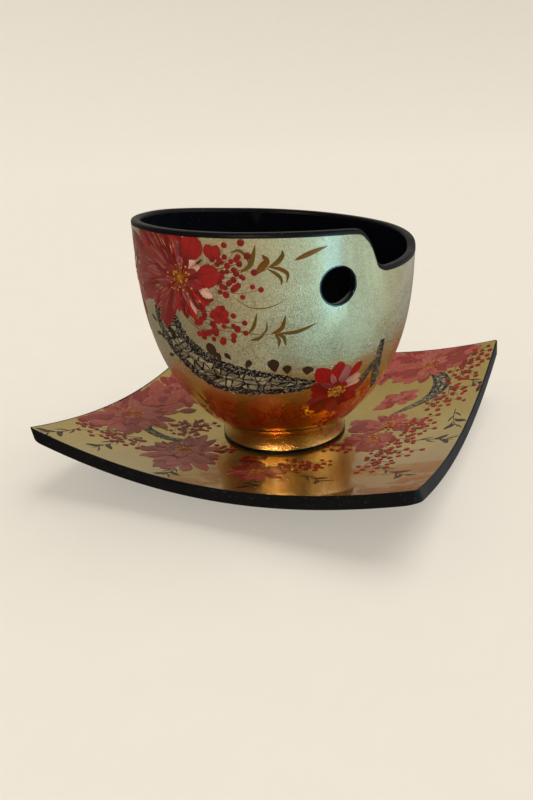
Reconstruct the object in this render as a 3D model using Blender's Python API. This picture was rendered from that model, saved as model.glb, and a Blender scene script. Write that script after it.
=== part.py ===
"""Lacquer bowl with a spiral rim, standing on its square dished saucer.

Frame: metres, +Z up, origin under the middle of the saucer, X and Y along the saucer's sides.
Azimuths are in degrees, 0 towards -Y and growing towards +X. Constants are in millimetres
and become metres where a mesh or an object is placed. Bowl heights are measured from the sole
of the bowl's foot.
"""
import math

import bmesh
import bpy

MM = 0.001
GAP = 0.3

SHARP_ANGLE = 35.0

# Saucer: its edge spreads from a sharp-cornered top to a wider, rounder underside
SAUCER_TOP_HALF_SIDE = 102.8
SAUCER_TOP_CORNER = 2.0
SAUCER_BASE_HALF_SIDE = 103.8
SAUCER_BASE_CORNER = 8.0
SAUCER_THICKNESS = 7.0
SAUCER_FLAT_RADIUS = 42.0
SAUCER_RISE = 13.9
SAUCER_RISE_RADIUS = 102.0
SAUCER_RISE_POWER = 1.48
PANEL_THICKNESS = 0.8
EDGE_BAND_WIDTH = 1.5
EDGE_ROUNDING = 0.7

# Bowl: where it stands, and its outer wall
BOWL_CENTRE = (-3.0, -0.2)
BOWL_SOLE = SAUCER_THICKNESS + GAP
RIM_RADIUS = 75.0
WALL_CROWN = 129.7
WALL_ROOT = -7.4
WALL_HEIGHT_POWER = 3.3
WALL_RADIUS_POWER = 1.4
FOOT_HEIGHT = 9.2
FOOT_RADIUS = 36.0
FOOT_WIDTH = 6.0
FOOT_WAIST = 0.5
FOOT_TAPER = 0.3
SOLE_BAND_HEIGHT = 1.6
SOLE_CHAMFER = 0.3
FLOOR_THICKNESS = 5.2

# Layers of the wall, as depths below its outer surface
SKIN_DEPTH = 0.8
CORE_DEPTH = 3.1
LINING_DEPTH = 4.4

# Rim: (azimuth, height) of its crest once round, from the foot of the step to the foot again
RIM_CREST = (
    (70.0, 105.4), (76.0, 105.1), (97.0, 106.1), (114.0, 109.2), (165.0, 112.9),
    (220.0, 119.0), (275.0, 126.6), (325.0, 129.1), (375.0, 128.0), (408.0, 126.2),
    (416.0, 125.2), (419.0, 122.2), (421.8, 117.2), (423.4, 112.4), (425.2, 107.9),
    (430.0, 105.4),
)
RIM_BAND_HEIGHT = 2.2
RIM_ROUNDING = 1.0
RIM_CHAMFER = 0.3
STEP_FIRST, STEP_LAST = 50.0, 76.0
STEP_SPACING = 1.5
COLUMN_SPACING = 8.0

# Round hole through the wall, beside the step
HOLE_AZIMUTH = 47.0
HOLE_HEIGHT = 100.8
HOLE_RADIUS = 9.3
SLEEVE_THICKNESS = 1.0
HOLE_SIDES = 24
CUTTER_LENGTH = 40.0

# Mesh density: rows crowd towards the foot, where the wall turns in
WALL_ROWS = 7
ROW_SPREAD = 1.4
SAUCER_RINGS = 5
SAUCER_SIDE_COLUMNS = (-36.0, -24.0, -12.0, 0.0, 12.0, 24.0, 36.0)
EDGE_LEVELS = (1.75, 3.5, 5.25)


def clear_scene():
    for item in list(bpy.data.objects):
        bpy.data.objects.remove(item, do_unlink=True)


def material(name, colour, metallic, roughness):
    made = bpy.data.materials.new(name)
    made.use_nodes = True
    shader = made.node_tree.nodes["Principled BSDF"]
    shader.inputs["Base Color"].default_value = (*colour, 1.0)
    shader.inputs["Metallic"].default_value = metallic
    shader.inputs["Roughness"].default_value = roughness
    return made


def holder(name, place):
    """An empty that a body's pieces hang from."""
    empty = bpy.data.objects.new(name, None)
    bpy.context.collection.objects.link(empty)
    empty.location = [value * MM for value in place]
    return empty


def sweep(name, azimuths, outline, parent, surface):
    """A closed solid made of one outline for each azimuth.

    outline(azimuth) lists (radius, height) points from the axis round to the axis,
    or once round a ring's section. Points on the axis are shared by all columns.
    """
    mesh = bmesh.new()
    shared = {}

    def corner(azimuth, index, radius, height):
        if radius == 0.0:
            if index not in shared:
                shared[index] = mesh.verts.new((0.0, 0.0, height * MM))
            return shared[index]
        turn = math.radians(azimuth)
        across = radius * MM
        return mesh.verts.new((across * math.sin(turn), -across * math.cos(turn), height * MM))

    columns = []
    for azimuth in azimuths:
        points = outline(azimuth)
        columns.append([corner(azimuth, index, *point) for index, point in enumerate(points)])
    ring = not shared
    steps = len(columns[0]) if ring else len(columns[0]) - 1
    for first, second in zip(columns, columns[1:] + columns[:1]):
        for step in range(steps):
            after = (step + 1) % len(first)
            around = [first[step], first[after], second[after], second[step]]
            mesh.faces.new(list(dict.fromkeys(around)))
    bmesh.ops.recalc_face_normals(mesh, faces=mesh.faces)
    return finish(name, mesh, parent, surface)


def finish(name, mesh, parent, surface):
    data = bpy.data.meshes.new(name)
    mesh.to_mesh(data)
    mesh.free()
    data.materials.append(surface)
    data.shade_smooth()
    data.set_sharp_from_angle(angle=math.radians(SHARP_ANGLE))
    made = bpy.data.objects.new(name, data)
    made.parent = parent
    bpy.context.collection.objects.link(made)
    return made


# --- the bowl's shape ---------------------------------------------------------------------

def wall_radius(height):
    """Outer radius of the bowl: steep at the rim, turning in under the belly."""
    share = (WALL_CROWN - height) / (WALL_CROWN - WALL_ROOT)
    return RIM_RADIUS * (1.0 - max(share, 0.0) ** WALL_HEIGHT_POWER) ** (1.0 / WALL_RADIUS_POWER)


def layer_radius(height, depth):
    """Radius of a layer that lies depth below the outer surface, measured square to it."""
    lean = wall_radius(height + 0.5) - wall_radius(height - 0.5)
    return wall_radius(height) - depth * math.hypot(1.0, lean)


def rim_height(azimuth):
    """Height of the crest, a curve through RIM_CREST that never overshoots its points."""
    turned = RIM_CREST[0][0] + (azimuth - RIM_CREST[0][0]) % 360.0
    last = len(RIM_CREST) - 1
    slopes = [(RIM_CREST[i + 1][1] - RIM_CREST[i][1]) / (RIM_CREST[i + 1][0] - RIM_CREST[i][0])
              for i in range(last)]

    def tangent(i):
        before = slopes[(i - 1) % last]
        after = slopes[i % last]
        if before * after <= 0.0:
            return 0.0
        return 2.0 * before * after / (before + after)

    for i in range(last):
        start, end = RIM_CREST[i][0], RIM_CREST[i + 1][0]
        if turned <= end:
            break
    width = end - start
    t = (turned - start) / width
    low, high = RIM_CREST[i][1], RIM_CREST[i + 1][1]
    swing = 3.0 * t * t - 2.0 * t ** 3
    return (low + (high - low) * swing
            + width * tangent(i) * t * (1.0 - t) ** 2
            - width * tangent(i + 1) * t * t * (1.0 - t))


def bowl_azimuths():
    """Even columns, closer together over the step in the rim."""
    steps = round((STEP_LAST - STEP_FIRST) / STEP_SPACING)
    fine = [STEP_FIRST + i * (STEP_LAST - STEP_FIRST) / steps for i in range(steps)]
    rest = 360.0 - (STEP_LAST - STEP_FIRST)
    count = round(rest / COLUMN_SPACING)
    return fine + [STEP_LAST + i * rest / count for i in range(count)]


def wall_points(azimuth, depth, bottom, drop):
    """Points up one layer of the wall, from a height to a drop below the crest."""
    top = rim_height(azimuth) - drop
    points = []
    for row in range(WALL_ROWS + 1):
        height = bottom + (top - bottom) * (row / WALL_ROWS) ** ROW_SPREAD
        points.append((layer_radius(height, depth), height))
    return points


def skin_outline(azimuth):
    drop = RIM_BAND_HEIGHT + GAP
    bottom = FOOT_HEIGHT + GAP
    outside = wall_points(azimuth, 0.0, bottom, drop)
    inside = wall_points(azimuth, SKIN_DEPTH, bottom, drop)
    return outside + inside[::-1]


def core_outline(azimuth):
    drop = RIM_BAND_HEIGHT + GAP
    bottom = FOOT_HEIGHT + GAP
    floor = FOOT_HEIGHT + FLOOR_THICKNESS
    outside = wall_points(azimuth, SKIN_DEPTH + GAP, bottom, drop)
    inside = wall_points(azimuth, CORE_DEPTH, floor, drop)
    return [(0.0, bottom)] + outside + inside[::-1] + [(0.0, floor)]


def lining_outline(azimuth):
    drop = RIM_BAND_HEIGHT + GAP
    under = FOOT_HEIGHT + FLOOR_THICKNESS + GAP
    floor = under + LINING_DEPTH - CORE_DEPTH - GAP
    outside = wall_points(azimuth, CORE_DEPTH + GAP, under, drop)
    inside = wall_points(azimuth, LINING_DEPTH, floor, drop)
    return [(0.0, under)] + outside + inside[::-1] + [(0.0, floor)]


def rim_outline(azimuth):
    """Black lip over all the layers, with both its edges rounded."""
    crest = rim_height(azimuth)
    bottom = crest - RIM_BAND_HEIGHT
    shoulder = crest - RIM_ROUNDING
    section = (
        (0.0, bottom), (0.0, shoulder), (RIM_CHAMFER, crest - RIM_CHAMFER), (RIM_ROUNDING, crest),
        (LINING_DEPTH - RIM_ROUNDING, crest), (LINING_DEPTH - RIM_CHAMFER, crest - RIM_CHAMFER),
        (LINING_DEPTH, shoulder), (LINING_DEPTH, bottom),
    )
    return [(layer_radius(height, depth), height) for depth, height in section]


def foot_outline(_azimuth):
    bottom = SOLE_BAND_HEIGHT + GAP
    inner = FOOT_RADIUS - FOOT_WIDTH
    waist = 0.5 * (bottom + FOOT_HEIGHT)
    return [(FOOT_RADIUS, bottom), (FOOT_RADIUS - FOOT_WAIST, waist),
            (FOOT_RADIUS - FOOT_TAPER, FOOT_HEIGHT), (inner, FOOT_HEIGHT), (inner, bottom)]


def sole_outline(_azimuth):
    inner = FOOT_RADIUS - FOOT_WIDTH
    return [(FOOT_RADIUS - SOLE_CHAMFER, 0.0), (FOOT_RADIUS, SOLE_CHAMFER),
            (FOOT_RADIUS, SOLE_BAND_HEIGHT), (inner, SOLE_BAND_HEIGHT), (inner, 0.0)]


def hole_cutter(parent):
    """A round peg across the wall, wider than the sleeve by the gap between them."""
    mesh = bmesh.new()
    radius = (HOLE_RADIUS + GAP) * MM
    bmesh.ops.create_cone(mesh, cap_ends=True, segments=HOLE_SIDES,
                          radius1=radius, radius2=radius, depth=CUTTER_LENGTH * MM)
    cutter = finish("hole_cutter", mesh, parent, material("cutter", (1.0, 0.0, 0.0), 0.0, 0.5))
    turn = math.radians(HOLE_AZIMUTH)
    across = RIM_RADIUS * MM
    cutter.location = (across * math.sin(turn), -across * math.cos(turn), HOLE_HEIGHT * MM)
    cutter.rotation_euler = (math.radians(90.0), 0.0, turn)
    cutter.hide_render = True
    cutter.display_type = "WIRE"
    return cutter


def cut(piece, cutter):
    modifier = piece.modifiers.new("hole", "BOOLEAN")
    modifier.object = cutter
    modifier.operation = "DIFFERENCE"
    modifier.solver = "EXACT"


def hole_sleeve(parent, surface):
    """Lining tube of the hole, its ends following the bowl's outer and inner surfaces."""
    mesh = bmesh.new()
    turn = math.radians(HOLE_AZIMUTH)
    outward = (math.sin(turn), -math.cos(turn))
    sideways = (math.cos(turn), math.sin(turn))

    def ring(radius, depth):
        made = []
        for side in range(HOLE_SIDES):
            angle = 2.0 * math.pi * side / HOLE_SIDES
            offset = radius * math.cos(angle)
            height = HOLE_HEIGHT + radius * math.sin(angle)
            reach = math.sqrt(layer_radius(height, depth) ** 2 - offset ** 2)
            x = reach * outward[0] + offset * sideways[0]
            y = reach * outward[1] + offset * sideways[1]
            made.append(mesh.verts.new((x * MM, y * MM, height * MM)))
        return made

    bore = HOLE_RADIUS - SLEEVE_THICKNESS
    rings = [ring(HOLE_RADIUS, 0.0), ring(bore, 0.0), ring(bore, LINING_DEPTH),
             ring(HOLE_RADIUS, LINING_DEPTH)]
    for first, second in zip(rings, rings[1:] + rings[:1]):
        for side in range(HOLE_SIDES):
            after = (side + 1) % HOLE_SIDES
            mesh.faces.new((first[side], first[after], second[after], second[side]))
    bmesh.ops.recalc_face_normals(mesh, faces=mesh.faces)
    return finish("hole_sleeve", mesh, parent, surface)


def build_bowl(surfaces):
    parent = holder("bowl", (*BOWL_CENTRE, BOWL_SOLE))
    azimuths = bowl_azimuths()
    skin = sweep("bowl_leaf_skin", azimuths, skin_outline, parent, surfaces["silver_leaf"])
    core = sweep("bowl_core", azimuths, core_outline, parent, surfaces["wood"])
    lining = sweep("bowl_lining", azimuths, lining_outline, parent, surfaces["black_gloss"])
    sweep("rim_band", azimuths, rim_outline, parent, surfaces["black_satin"])
    even = [i * COLUMN_SPACING for i in range(round(360.0 / COLUMN_SPACING))]
    sweep("foot_ring", even, foot_outline, parent, surfaces["gold_leaf"])
    sweep("foot_sole_band", even, sole_outline, parent, surfaces["black_satin"])
    cutter = hole_cutter(parent)
    for layer in (skin, core, lining):
        cut(layer, cutter)
    hole_sleeve(parent, surfaces["black_gloss"])


# --- the saucer's shape -------------------------------------------------------------------

def saucer_height(radius):
    """How far the dish has risen above its flat middle."""
    share = max(radius - SAUCER_FLAT_RADIUS, 0.0) / (SAUCER_RISE_RADIUS - SAUCER_FLAT_RADIUS)
    return SAUCER_RISE * share ** SAUCER_RISE_POWER


def saucer_edge(azimuth, lift, inset):
    """Distance from the middle to the edge of a square with round corners.

    lift is the level above the underside, and inset is how far inside the edge to stay.
    """
    level = lift / SAUCER_THICKNESS
    half = SAUCER_BASE_HALF_SIDE + (SAUCER_TOP_HALF_SIDE - SAUCER_BASE_HALF_SIDE) * level - inset
    corner = SAUCER_BASE_CORNER + (SAUCER_TOP_CORNER - SAUCER_BASE_CORNER) * level - inset
    centre = half - corner
    turn = math.radians(azimuth)
    along = sorted((abs(math.sin(turn)), abs(math.cos(turn))))
    straight = half / along[1]
    if straight * along[0] <= centre:
        return straight
    middle = centre * (along[0] + along[1])
    return middle + math.sqrt(corner ** 2 - 2.0 * centre ** 2 + middle ** 2)


def corner_start(half, corner):
    """Azimuth where a side ends and its round corner begins."""
    return math.degrees(math.atan2(half - corner, half))


def saucer_azimuths():
    """A few columns along each side, and more round each corner."""
    base = corner_start(SAUCER_BASE_HALF_SIDE, SAUCER_BASE_CORNER)
    top = corner_start(SAUCER_TOP_HALF_SIDE, SAUCER_TOP_CORNER)
    bends = [base, 0.5 * (base + top), top]
    quarter = [-bend for bend in bends[::-1]] + list(SAUCER_SIDE_COLUMNS) + bends + [45.0]
    return [90.0 * side + azimuth for side in range(4) for azimuth in quarter]


def edge_point(azimuth, lift, inset):
    radius = saucer_edge(azimuth, lift, inset)
    return (radius, saucer_height(radius) + lift)


def dish_points(azimuth, lift):
    """Points out from the axis along one surface of the dish, up to the edge band."""
    edge = saucer_edge(azimuth, lift, EDGE_BAND_WIDTH + GAP)
    points = [(0.0, lift)]
    for ring in range(SAUCER_RINGS + 1):
        radius = SAUCER_FLAT_RADIUS + (edge - SAUCER_FLAT_RADIUS) * ring / SAUCER_RINGS
        points.append((radius, saucer_height(radius) + lift))
    return points


def panel_outline(azimuth):
    top = dish_points(azimuth, SAUCER_THICKNESS)
    under = dish_points(azimuth, SAUCER_THICKNESS - PANEL_THICKNESS)
    return top + under[::-1]


def saucer_core_outline(azimuth):
    top = dish_points(azimuth, SAUCER_THICKNESS - PANEL_THICKNESS - GAP)
    under = dish_points(azimuth, 0.0)
    side = [edge_point(azimuth, lift, EDGE_BAND_WIDTH + GAP) for lift in EDGE_LEVELS]
    return top + side[::-1] + under[::-1]


def edge_outline(azimuth):
    outside = (
        (EDGE_ROUNDING, 0.0), (0.0, EDGE_ROUNDING),
        (0.0, SAUCER_THICKNESS - EDGE_ROUNDING), (EDGE_ROUNDING, SAUCER_THICKNESS),
    )
    inside = [(EDGE_BAND_WIDTH, lift) for lift in (0.0, *EDGE_LEVELS, SAUCER_THICKNESS)]
    return [edge_point(azimuth, lift, inset) for inset, lift in (*outside, *inside[::-1])]


def build_saucer(surfaces):
    parent = holder("saucer", (0.0, 0.0, 0.0))
    azimuths = saucer_azimuths()
    sweep("saucer_core", azimuths, saucer_core_outline, parent, surfaces["black_gloss"])
    sweep("saucer_leaf_panel", azimuths, panel_outline, parent, surfaces["gold_leaf"])
    sweep("saucer_edge_band", azimuths, edge_outline, parent, surfaces["black_satin"])


def build_surfaces():
    return {
        "silver_leaf": material("silver_leaf", (0.46, 0.45, 0.27), 0.8, 0.32),
        "gold_leaf": material("gold_leaf", (0.52, 0.38, 0.13), 0.8, 0.25),
        "black_gloss": material("black_gloss", (0.006, 0.006, 0.008), 0.0, 0.12),
        "black_satin": material("black_satin", (0.012, 0.012, 0.014), 0.0, 0.35),
        "wood": material("wood", (0.42, 0.28, 0.15), 0.0, 0.7),
    }


clear_scene()
SURFACES = build_surfaces()
build_saucer(SURFACES)
build_bowl(SURFACES)
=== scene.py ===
"""Looks of a lacquered bowl and its square saucer: leafed, painted and inlaid, in soft studio light.

Constants are in millimetres and become metres where mesh points are made. Azimuths are in degrees,
0 towards -Y and growing towards +X. Bowl heights are measured from the sole of the bowl's foot.
"""
import math
import random

import bmesh
import bpy
from mathutils import Matrix, Vector


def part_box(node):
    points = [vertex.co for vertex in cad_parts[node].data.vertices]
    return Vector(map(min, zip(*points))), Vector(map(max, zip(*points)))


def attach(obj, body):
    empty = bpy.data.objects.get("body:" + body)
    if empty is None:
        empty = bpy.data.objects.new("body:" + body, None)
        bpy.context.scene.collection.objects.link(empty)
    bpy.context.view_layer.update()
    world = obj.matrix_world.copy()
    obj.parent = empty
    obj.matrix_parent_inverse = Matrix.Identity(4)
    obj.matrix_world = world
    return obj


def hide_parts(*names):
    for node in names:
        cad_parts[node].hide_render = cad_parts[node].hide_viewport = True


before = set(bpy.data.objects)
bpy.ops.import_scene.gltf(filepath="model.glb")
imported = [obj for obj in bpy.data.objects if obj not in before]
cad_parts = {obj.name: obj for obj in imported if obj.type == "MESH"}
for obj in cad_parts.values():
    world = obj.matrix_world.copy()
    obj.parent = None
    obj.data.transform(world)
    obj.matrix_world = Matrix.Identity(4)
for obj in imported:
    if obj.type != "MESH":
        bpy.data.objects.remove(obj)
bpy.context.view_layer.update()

MM = 0.001

# --- places and sizes read from the frame ---

SOLE_LOW, SOLE_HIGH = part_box("foot_sole_band")
FOOT_TOP_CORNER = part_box("foot_ring")[1]
EDGE_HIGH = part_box("saucer_edge_band")[1]
BOWL_BASE = Vector((0.5 * (SOLE_LOW.x + SOLE_HIGH.x), 0.5 * (SOLE_LOW.y + SOLE_HIGH.y), SOLE_LOW.z)) / MM
FOOT_RADIUS = 0.5 * (SOLE_HIGH.x - SOLE_LOW.x) / MM
FOOT_TOP = (FOOT_TOP_CORNER.z - SOLE_LOW.z) / MM
SOLE_BAND_HEIGHT = (SOLE_HIGH.z - SOLE_LOW.z) / MM
SAUCER_BASE_HALF_SIDE = EDGE_HIGH.x / MM + 0.1

# --- shape of the wall, the rim and the dish, as in the CAD model ---

RIM_RADIUS = 75.0
WALL_CROWN = 129.7
WALL_ROOT = -7.4
WALL_HEIGHT_POWER = 3.3
WALL_RADIUS_POWER = 1.4
LINING_DEPTH = 4.4
FLOOR_HEIGHT = 15.6
RIM_BAND_HEIGHT = 2.2
RIM_CREST = (
    (70.0, 105.4), (76.0, 105.1), (97.0, 106.1), (114.0, 109.2), (165.0, 112.9), (220.0, 119.0),
    (275.0, 126.6), (325.0, 129.1), (375.0, 128.0), (408.0, 126.2), (416.0, 125.2), (419.0, 122.2),
    (421.8, 117.2), (423.4, 112.4), (425.2, 107.9), (430.0, 105.4),
)
HOLE_AZIMUTH = 47.0
HOLE_HEIGHT = 100.8
HOLE_RADIUS = 9.3
HOLE_BORE = 8.6

SAUCER_THICKNESS = 7.0
SAUCER_TOP_HALF_SIDE = 102.8
SAUCER_TOP_CORNER = 2.0
SAUCER_BASE_CORNER = 8.0
SAUCER_FLAT_RADIUS = 42.0
SAUCER_RISE = 13.9
SAUCER_RISE_RADIUS = 102.0
SAUCER_RISE_POWER = 1.48
EDGE_BAND_WIDTH = 1.5
EDGE_LIP = 0.9
PAINT_MARGIN = 0.3


def wall_radius(height):
    """Outer radius of the bowl: steep at the rim, turning in under the belly."""
    share = max((WALL_CROWN - height) / (WALL_CROWN - WALL_ROOT), 0.0)
    return RIM_RADIUS * (1.0 - share ** WALL_HEIGHT_POWER) ** (1.0 / WALL_RADIUS_POWER)


def wall_lean(height):
    """Change of the wall's radius over one millimetre of height."""
    return wall_radius(height + 0.5) - wall_radius(height - 0.5)


def layer_radius(height, depth):
    return wall_radius(height) - depth * math.hypot(1.0, wall_lean(height))


def rim_height(azimuth):
    """Height of the crest: a curve through RIM_CREST that never overshoots its points."""
    turned = RIM_CREST[0][0] + (azimuth - RIM_CREST[0][0]) % 360.0
    last = len(RIM_CREST) - 1
    slopes = [(RIM_CREST[i + 1][1] - RIM_CREST[i][1]) / (RIM_CREST[i + 1][0] - RIM_CREST[i][0])
              for i in range(last)]

    def tangent(i):
        before = slopes[(i - 1) % last]
        after = slopes[i % last]
        if before * after <= 0.0:
            return 0.0
        return 2.0 * before * after / (before + after)

    for i in range(last):
        start, end = RIM_CREST[i][0], RIM_CREST[i + 1][0]
        if turned <= end:
            break
    width = end - start
    t = (turned - start) / width
    low, high = RIM_CREST[i][1], RIM_CREST[i + 1][1]
    swing = 3.0 * t * t - 2.0 * t ** 3
    return (low + (high - low) * swing
            + width * tangent(i) * t * (1.0 - t) ** 2
            - width * tangent(i + 1) * t * t * (1.0 - t))


def saucer_height(radius):
    """Top of the dish above its flat middle."""
    share = max(radius - SAUCER_FLAT_RADIUS, 0.0) / (SAUCER_RISE_RADIUS - SAUCER_FLAT_RADIUS)
    return SAUCER_RISE * share ** SAUCER_RISE_POWER


def saucer_edge(azimuth, lift, inset):
    """Distance from the middle to the edge of a square with round corners, at one level."""
    level = lift / SAUCER_THICKNESS
    half = SAUCER_BASE_HALF_SIDE + (SAUCER_TOP_HALF_SIDE - SAUCER_BASE_HALF_SIDE) * level - inset
    corner = SAUCER_BASE_CORNER + (SAUCER_TOP_CORNER - SAUCER_BASE_CORNER) * level - inset
    centre = half - corner
    turn = math.radians(azimuth)
    along = sorted((abs(math.sin(turn)), abs(math.cos(turn))))
    straight = half / along[1]
    if straight * along[0] <= centre:
        return straight
    middle = centre * (along[0] + along[1])
    return middle + math.sqrt(corner ** 2 - 2.0 * centre ** 2 + middle ** 2)


def polar(azimuth, radius, height):
    turn = math.radians(azimuth)
    return Vector((radius * math.sin(turn), -radius * math.cos(turn), height))


def on_bowl(azimuth, height, lift=0.0):
    """Point lift above the bowl's outer surface, kept under the black lip."""
    height = min(height, rim_height(azimuth) - RIM_BAND_HEIGHT - 0.1)
    lean = wall_lean(height)
    slant = math.hypot(1.0, lean)
    point = polar(azimuth, wall_radius(height) + lift / slant, height - lift * lean / slant)
    return (point + BOWL_BASE) * MM


def on_saucer(x, y, lift=0.0):
    """Point lift above the saucer's top, kept inside its black edge."""
    radius = math.hypot(x, y)
    azimuth = math.degrees(math.atan2(x, -y))
    edge = saucer_edge(azimuth, SAUCER_THICKNESS, EDGE_LIP + PAINT_MARGIN)
    share = min(1.0, edge / max(radius, 1.0))
    height = SAUCER_THICKNESS + saucer_height(radius * share) + lift
    return Vector((x * share, y * share, height)) * MM


def offset_point(centre, angle, out, side=0.0):
    """The point out mm from the centre at an angle in radians, then side mm to the left."""
    return (centre[0] + out * math.cos(angle) - side * math.sin(angle),
            centre[1] + out * math.sin(angle) + side * math.cos(angle))


def bowl_sheet(azimuth, height):
    """A drawing sheet laid on the bowl: u mm to the right, w mm up, lift mm proud."""
    across = wall_radius(height)
    rise = 1.0 / math.hypot(1.0, wall_lean(height))

    def place(u, w, lift):
        return on_bowl(azimuth + math.degrees(u / across), height + w * rise, lift)
    return place


def saucer_sheet(x, y, turn):
    """A drawing sheet laid on the saucer, turned by so many degrees."""
    def place(u, w, lift):
        return on_saucer(*offset_point((x, y), math.radians(turn), u, w), lift)
    return place


# --- mesh helpers ---

def add_object(name, data):
    made = bpy.data.objects.new(name, data)
    bpy.context.collection.objects.link(made)
    return made


def add_mesh(name, mesh):
    data = bpy.data.meshes.new(name)
    mesh.to_mesh(data)
    mesh.free()
    return add_object(name, data)


def keep_mesh(name, mesh, surface, body, sharp=35.0):
    """Turns a finished mesh into a piece that rides on a body."""
    bmesh.ops.recalc_face_normals(mesh, faces=mesh.faces)
    piece = add_mesh(name, mesh)
    piece.data.materials.append(surface)
    piece.data.shade_smooth()
    piece.data.set_sharp_from_angle(angle=math.radians(sharp))
    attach(piece, body)
    return piece


def bridge(first, second):
    """Four-sided faces between two closed rings."""
    return list(zip(first, first[1:] + first[:1], second[1:] + second[:1], second))


def sweep(name, azimuths, outline, centre, surface, body, sharp=35.0):
    """A closed piece made of one outline of (radius, height) points for each azimuth."""
    mesh = bmesh.new()
    shared = {}
    offset = Vector(centre)

    def corner(azimuth, index, radius, height):
        if radius == 0.0:
            if index not in shared:
                shared[index] = mesh.verts.new((offset + Vector((0.0, 0.0, height))) * MM)
            return shared[index]
        return mesh.verts.new((offset + polar(azimuth, radius, height)) * MM)

    columns = []
    for azimuth in azimuths:
        points = outline(azimuth)
        columns.append([corner(azimuth, index, *point) for index, point in enumerate(points)])
    steps = len(columns[0]) - (1 if shared else 0)
    for first, second in zip(columns, columns[1:] + columns[:1]):
        for step in range(steps):
            after = (step + 1) % len(first)
            around = [first[step], first[after], second[after], second[step]]
            mesh.faces.new(list(dict.fromkeys(around)))
    return keep_mesh(name, mesh, surface, body, sharp)


def arc(centre, radius, start, end, steps):
    """Points (x, y) along an arc, its angles in degrees from +x."""
    return [offset_point(centre, math.radians(start + (end - start) * i / steps), radius)
            for i in range(steps + 1)]


def curve_points(knots, count):
    """A smooth Catmull-Rom line through the knots, as count + 1 points."""
    knots = [Vector(knot) for knot in knots]
    knots = [2 * knots[0] - knots[1]] + knots + [2 * knots[-1] - knots[-2]]
    spans = len(knots) - 3
    points = []
    for i in range(count + 1):
        place = min(i / count * spans, spans - 1e-6)
        span = int(place)
        t = place - span
        a, b, c, d = knots[span:span + 4]
        points.append(0.5 * ((2 * b) + (c - a) * t + (2 * a - 5 * b + 4 * c - d) * t * t
                             + (3 * b - a - 3 * c + d) * t ** 3))
    return points


# --- node helpers ---

def colour(value):
    if isinstance(value, bpy.types.NodeSocket):
        return value
    return (*value, 1.0)


class Nodes:
    """Short calls that add nodes to one tree. A socket takes a plain value or another's output."""

    def __init__(self, tree):
        self.tree = tree

    def feed(self, socket, value):
        if isinstance(value, bpy.types.NodeSocket):
            self.tree.links.new(value, socket)
        else:
            socket.default_value = value

    def node(self, kind, sockets=(), **settings):
        made = self.tree.nodes.new(kind)
        for key, value in settings.items():
            setattr(made, key, value)
        for key, value in dict(sockets).items():
            self.feed(made.inputs[key], value)
        return made

    def ramp(self, value, low, high, start=0.0, end=1.0, **settings):
        """Values from low to high become start to end, clamped at both."""
        sockets = {"Value": value, "From Min": low, "From Max": high, "To Min": start, "To Max": end}
        return self.node("ShaderNodeMapRange", sockets, **settings).outputs["Result"]

    def blend(self, share, first, second):
        sockets = {"Factor": share, "A": colour(first), "B": colour(second)}
        return self.node("ShaderNodeMix", sockets, data_type="RGBA").outputs["Result"]

    def times(self, first, second):
        return self.node("ShaderNodeMath", {0: first, 1: second}, operation="MULTIPLY").outputs[0]

    def plus(self, first, second):
        return self.node("ShaderNodeMath", {0: first, 1: second}, operation="ADD").outputs[0]


class Shader(Nodes):
    """A Principled material, its own sockets named with underscores."""

    def __init__(self, name, **settings):
        self.material = bpy.data.materials.new(name)
        self.material.use_nodes = True
        super().__init__(self.material.node_tree)
        self.main = self.tree.nodes["Principled BSDF"]
        for socket, value in settings.items():
            self.main.inputs[socket.replace("_", " ")].default_value = value
        self.place = self.node("ShaderNodeTexCoord").outputs["Object"]

    def noise(self, scale, detail=3.0, rough=0.55, vector=None, distort=0.0):
        sockets = {"Vector": vector or self.place, "Scale": scale, "Detail": detail,
                   "Roughness": rough, "Distortion": distort}
        return self.node("ShaderNodeTexNoise", sockets).outputs["Fac"]

    def cells(self, scale, feature, output):
        sockets = {"Vector": self.place, "Scale": scale}
        return self.node("ShaderNodeTexVoronoi", sockets, feature=feature).outputs[output]

    def stretch(self, vector, scale):
        return self.node("ShaderNodeMapping", {"Vector": vector, "Scale": scale}).outputs["Vector"]

    def attribute(self, name, output="Color"):
        return self.node("ShaderNodeAttribute", attribute_name=name).outputs[output]

    def finish(self, base, rough, height=None, strength=0.0, distance=0.0):
        """Feeds the colour and roughness and, with a height, the bump."""
        self.feed(self.main.inputs["Base Color"], base)
        self.feed(self.main.inputs["Roughness"], rough)
        if height:
            sockets = {"Height": height, "Strength": strength, "Distance": distance}
            bump = self.node("ShaderNodeBump", sockets)
            self.feed(self.main.inputs["Normal"], bump.outputs["Normal"])
        return self.material


# --- materials ---

# painted glint colour on the leaf's crinkles
PAINTED_GLINT = (0.78, 0.80, 0.70)
# dark tint of the leaf's pinholes and of its painted facet shade
PINHOLE_AND_FACET_SHADE = (0.10, 0.08, 0.05)
# painted shade in the leaf's crinkle hollows
CREASE_SHADE = (0.14, 0.11, 0.05)
LOW_SHEEN = 0.03
LOW_METALLIC = 0.95
LOW_WAVER = 0.004
PAPER_GLOW = 0.38


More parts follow.
